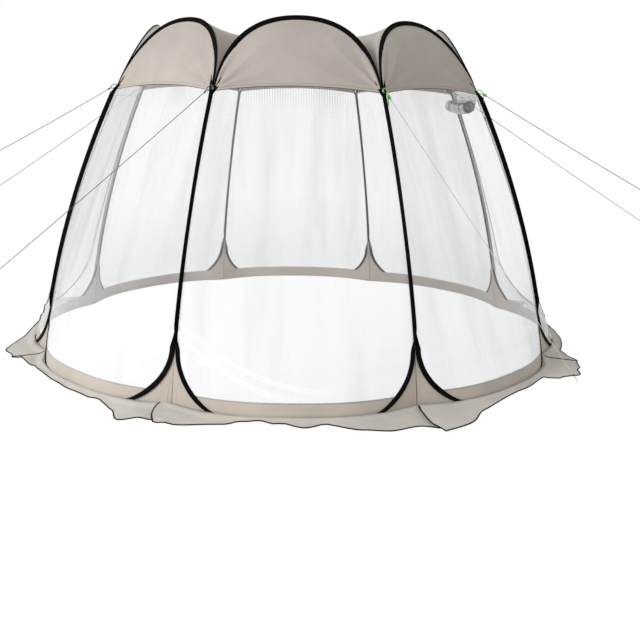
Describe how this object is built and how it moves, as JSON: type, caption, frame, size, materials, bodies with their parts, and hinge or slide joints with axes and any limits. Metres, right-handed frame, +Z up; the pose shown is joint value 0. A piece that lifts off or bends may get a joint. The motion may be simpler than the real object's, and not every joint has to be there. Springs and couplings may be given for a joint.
{
  "type": "pop-up tent",
  "caption": "Eight-sided pop-up shelter with spring hoops in fabric sleeves, clear walls, fabric crowns and roof, ground skirt, zipped side doors and guy ropes.",
  "frame": {"origin": "on the ground, at the middle of the eight-sided floor", "axes": "+Z up; -Y towards the front panel, +X towards the open doorway, -X towards the closed doorway"},
  "size_m": [5.9074, 4.0171, 2.1708],
  "materials": {
    "spring_steel": "plain drawn spring wire",
    "sleeve_tape": "black woven polyester tape",
    "canopy_cloth": "coated taupe polyester, slightly creased",
    "clear_film": "clear soft film with faint wrinkles",
    "skirt_cloth": "coated beige polyester",
    "zip_tape": "black coil zip on tape",
    "slider_metal": "black painted die casting",
    "loop_webbing": "black narrow webbing",
    "guy_cord": "thin braided grey cord"
  },
  "bodies": {
    "shelter": {"spring_rod_front": "spring_steel", "hoop_sleeve_front": "sleeve_tape", "crown_front": "canopy_cloth", "clear_wall_front": "clear_film", "skirt_flap_front": "skirt_cloth", "spring_rod_front_right": "spring_steel", "hoop_sleeve_front_right": "sleeve_tape", "crown_front_right": "canopy_cloth", "clear_wall_front_right": "clear_film", "skirt_flap_front_right": "skirt_cloth", "spring_rod_right": "spring_steel", "hoop_sleeve_right": "sleeve_tape", "crown_right": "canopy_cloth", "clear_wall_right": "clear_film", "skirt_flap_right": "skirt_cloth", "spring_rod_back_right": "spring_steel", "hoop_sleeve_back_right": "sleeve_tape", "crown_back_right": "canopy_cloth", "clear_wall_back_right": "clear_film", "skirt_flap_back_right": "skirt_cloth", "spring_rod_back": "spring_steel", "hoop_sleeve_back": "sleeve_tape", "crown_back": "canopy_cloth", "clear_wall_back": "clear_film", "skirt_flap_back": "skirt_cloth", "spring_rod_back_left": "spring_steel", "hoop_sleeve_back_left": "sleeve_tape", "crown_back_left": "canopy_cloth", "clear_wall_back_left": "clear_film", "skirt_flap_back_left": "skirt_cloth", "spring_rod_left": "spring_steel", "hoop_sleeve_left": "sleeve_tape", "crown_left": "canopy_cloth", "clear_wall_left": "clear_film", "skirt_flap_left": "skirt_cloth", "spring_rod_front_left": "spring_steel", "hoop_sleeve_front_left": "sleeve_tape", "crown_front_left": "canopy_cloth", "clear_wall_front_left": "clear_film", "skirt_flap_front_left": "skirt_cloth", "mud_wall": "skirt_cloth", "roof": "canopy_cloth", "door_zip_left": "zip_tape", "door_zip_right": "zip_tape", "rolled_door_right": "clear_film", "guy_loop_front_right": "loop_webbing", "guy_rope_front_right": "guy_cord", "guy_loop_right_front": "loop_webbing", "guy_rope_right_front": "guy_cord", "guy_loop_right_back": "loop_webbing", "guy_rope_right_back": "guy_cord", "guy_loop_left_back": "loop_webbing", "guy_rope_left_back": "guy_cord", "guy_loop_left_front": "loop_webbing", "guy_rope_left_front": "guy_cord", "guy_loop_front_left": "loop_webbing", "guy_rope_front_left": "guy_cord"},
    "left_door": {"door_leaf_left": "clear_film"},
    "left_slider": {"zip_slider_left": "slider_metal"},
    "right_slider": {"zip_slider_right": "slider_metal"}
  },
  "joints": [
    {"name": "left_door_lift", "type": "hinge", "parent": "shelter", "child": "left_door", "pos_m": [-1.19812, 0, 1.7], "axis": [0, 1, 0], "range_deg": [0, 80]},
    {"name": "left_zip_slide", "type": "hinge", "parent": "shelter", "child": "left_slider", "pos_m": [4.64774, 2.97887, -1.6079], "axis": [0.4766, -0.8776, -0.0519], "range_deg": [0, 7.86]},
    {"name": "right_zip_slide", "type": "hinge", "parent": "shelter", "child": "right_slider", "pos_m": [-4.64774, 2.97887, -1.6079], "axis": [0.4766, 0.8776, 0.0519], "range_deg": [0, 7.86]}
  ]
}
